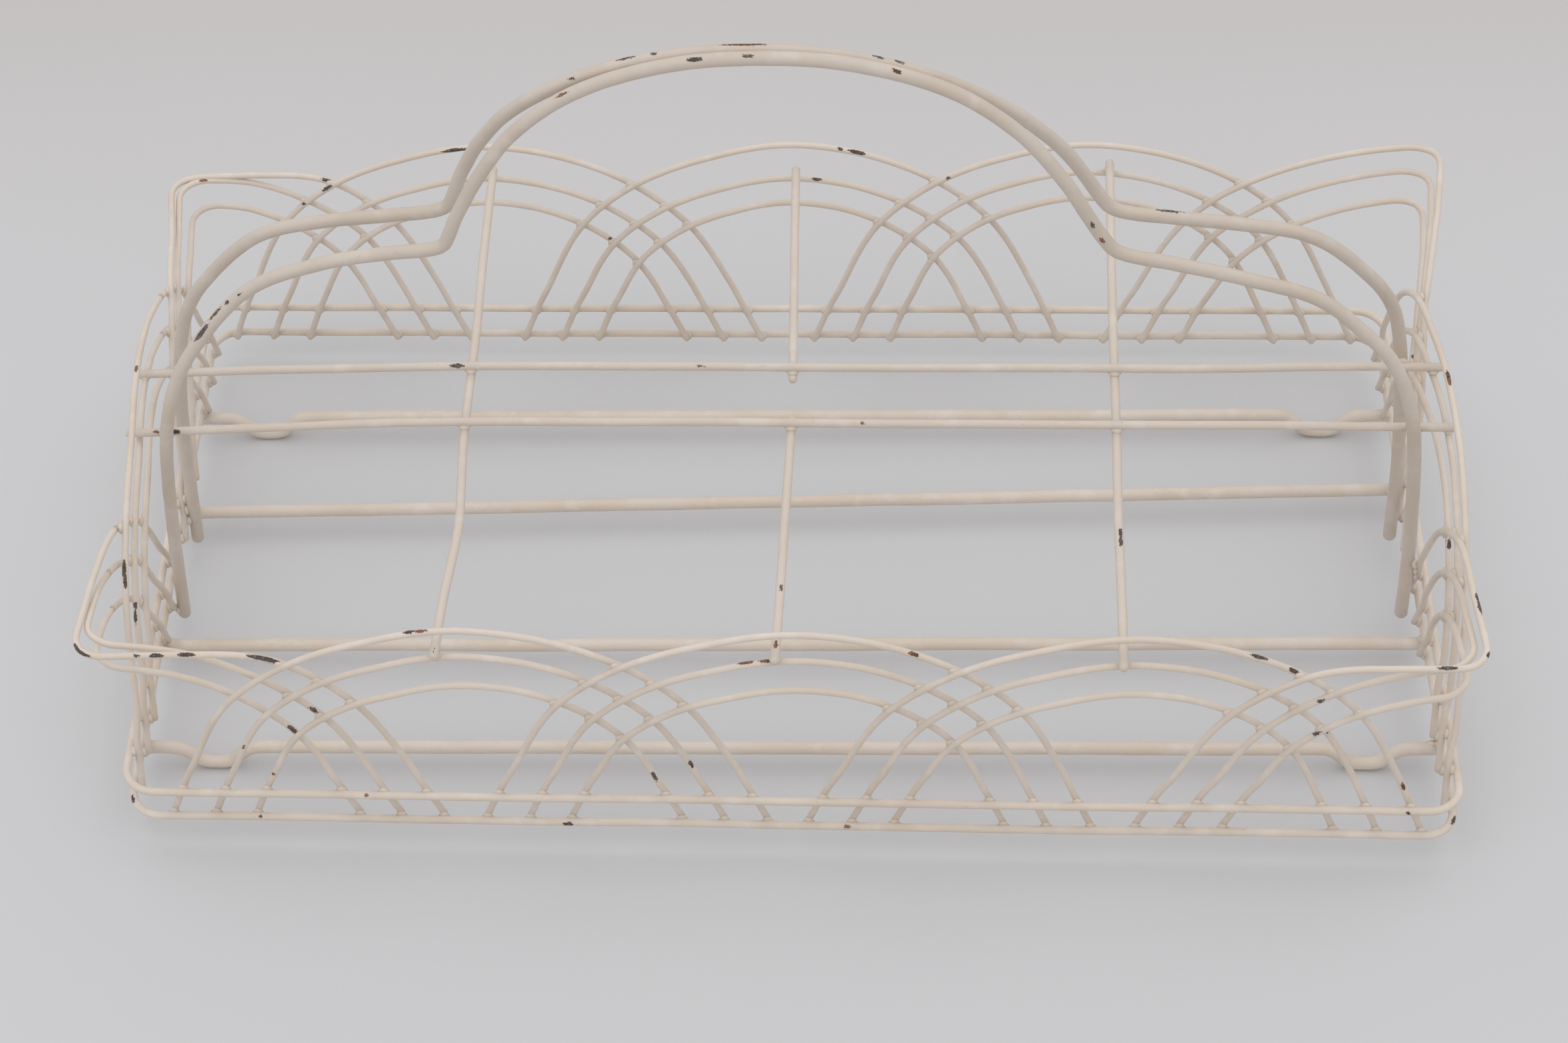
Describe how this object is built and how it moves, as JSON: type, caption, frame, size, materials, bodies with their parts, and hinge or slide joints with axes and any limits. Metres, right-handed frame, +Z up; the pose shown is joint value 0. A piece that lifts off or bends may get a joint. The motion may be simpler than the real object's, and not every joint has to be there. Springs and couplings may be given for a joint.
{
  "type": "dish drying rack",
  "caption": "Painted wire dish rack with scalloped arch walls, dividing cross wires, bent-wire feet and a tall central carrying handle.",
  "frame": {"origin": "centre of the plan, at the underside of the feet", "axes": "+X along the rack's length and handle, +Y from the front to the back, +Z up"},
  "size_m": [0.452, 0.2444, 0.2524],
  "materials": {
    "arch_paint": "satin",
    "ring_paint": "satin",
    "handle_paint": "satin",
    "divider_paint": "satin",
    "base_paint": "satin"
  },
  "bodies": {
    "root": {"lower_ring": "ring_paint", "upper_ring": "ring_paint", "arch_front_left_outer": "arch_paint", "arch_front_left_middle": "arch_paint", "arch_front_left_inner": "arch_paint", "arch_front_middle_outer": "arch_paint", "arch_front_middle_middle": "arch_paint", "arch_front_middle_inner": "arch_paint", "arch_front_right_outer": "arch_paint", "arch_front_right_middle": "arch_paint", "arch_front_right_inner": "arch_paint", "arch_corner_front_right_outer": "arch_paint", "arch_corner_front_right_middle": "arch_paint", "arch_corner_front_right_inner": "arch_paint", "arch_side_right_outer": "arch_paint", "arch_side_right_middle": "arch_paint", "arch_side_right_inner": "arch_paint", "arch_corner_back_right_outer": "arch_paint", "arch_corner_back_right_middle": "arch_paint", "arch_corner_back_right_inner": "arch_paint", "arch_back_right_outer": "arch_paint", "arch_back_right_middle": "arch_paint", "arch_back_right_inner": "arch_paint", "arch_back_middle_outer": "arch_paint", "arch_back_middle_middle": "arch_paint", "arch_back_middle_inner": "arch_paint", "arch_back_left_outer": "arch_paint", "arch_back_left_middle": "arch_paint", "arch_back_left_inner": "arch_paint", "arch_corner_back_left_outer": "arch_paint", "arch_corner_back_left_middle": "arch_paint", "arch_corner_back_left_inner": "arch_paint", "arch_side_left_outer": "arch_paint", "arch_side_left_middle": "arch_paint", "arch_side_left_inner": "arch_paint", "arch_corner_front_left_outer": "arch_paint", "arch_corner_front_left_middle": "arch_paint", "arch_corner_front_left_inner": "arch_paint", "foot_wire_front": "base_paint", "base_wire_front": "base_paint", "handle_hoop_front": "handle_paint", "rail_front": "divider_paint", "foot_wire_back": "base_paint", "base_wire_back": "base_paint", "handle_hoop_back": "handle_paint", "rail_back": "divider_paint", "cross_wire_left": "divider_paint", "cross_wire_middle_front": "divider_paint", "cross_wire_middle_back": "divider_paint", "cross_wire_right": "divider_paint"}
  },
  "joints": []
}
